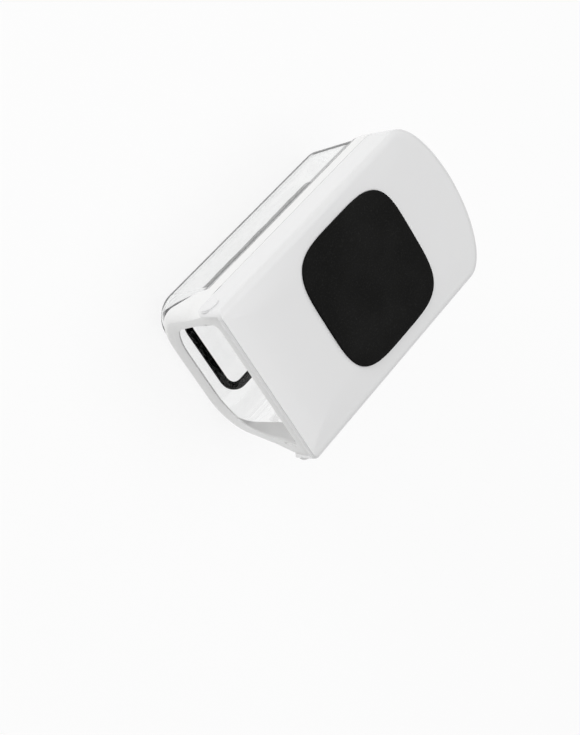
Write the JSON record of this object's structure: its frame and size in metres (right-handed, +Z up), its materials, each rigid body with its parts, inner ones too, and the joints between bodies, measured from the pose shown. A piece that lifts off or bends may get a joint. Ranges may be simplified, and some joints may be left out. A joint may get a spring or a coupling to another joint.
{
  "type": "press vegetable chopper",
  "caption": "Hand pressed vegetable chopper: a hinged lid with a soft pad and post grid pushes food through crossed blades into a clear box with a pour spout.",
  "frame": {"origin": "on the table under the middle of the closed chopper's bounding box", "axes": "+X towards the hinge and pour spout, +Y across the lid, +Z up"},
  "size_m": [0.2026, 0.1146, 0.0967],
  "materials": {
    "container": "clear polished",
    "foot_ring": "matt",
    "frame": "smooth white",
    "blade_carrier": "satin white",
    "blade_clamp": "satin white",
    "blades": "brushed, ground edge",
    "lid_shell": "smooth white",
    "soft_pad": "matt, fine grain",
    "pusher_grid": "satin white"
  },
  "bodies": {
    "box": {"container": "container", "foot_ring": "foot_ring"},
    "frame": {"frame": "frame", "blade_carrier": "blade_carrier", "blade_clamp": "blade_clamp", "blade_long_1": "blades", "blade_long_2": "blades", "blade_long_3": "blades", "blade_long_4": "blades", "blade_long_5": "blades", "blade_long_6": "blades", "blade_cross_1": "blades", "blade_cross_2": "blades", "blade_cross_3": "blades", "blade_cross_4": "blades", "blade_cross_5": "blades", "blade_cross_6": "blades", "blade_cross_7": "blades"},
    "lid": {"lid_shell": "lid_shell", "soft_pad": "soft_pad", "pusher_grid": "pusher_grid"}
  },
  "joints": [
    {"name": "frame_lift", "type": "slide", "parent": "box", "child": "frame", "axis": [0, 0, 1], "range_m": [0, 0.09]},
    {"name": "lid_hinge", "type": "hinge", "parent": "frame", "child": "lid", "pos_m": [0.0933, 0, 0.078], "axis": [0, 1, 0], "range_deg": [0, 100]}
  ]
}
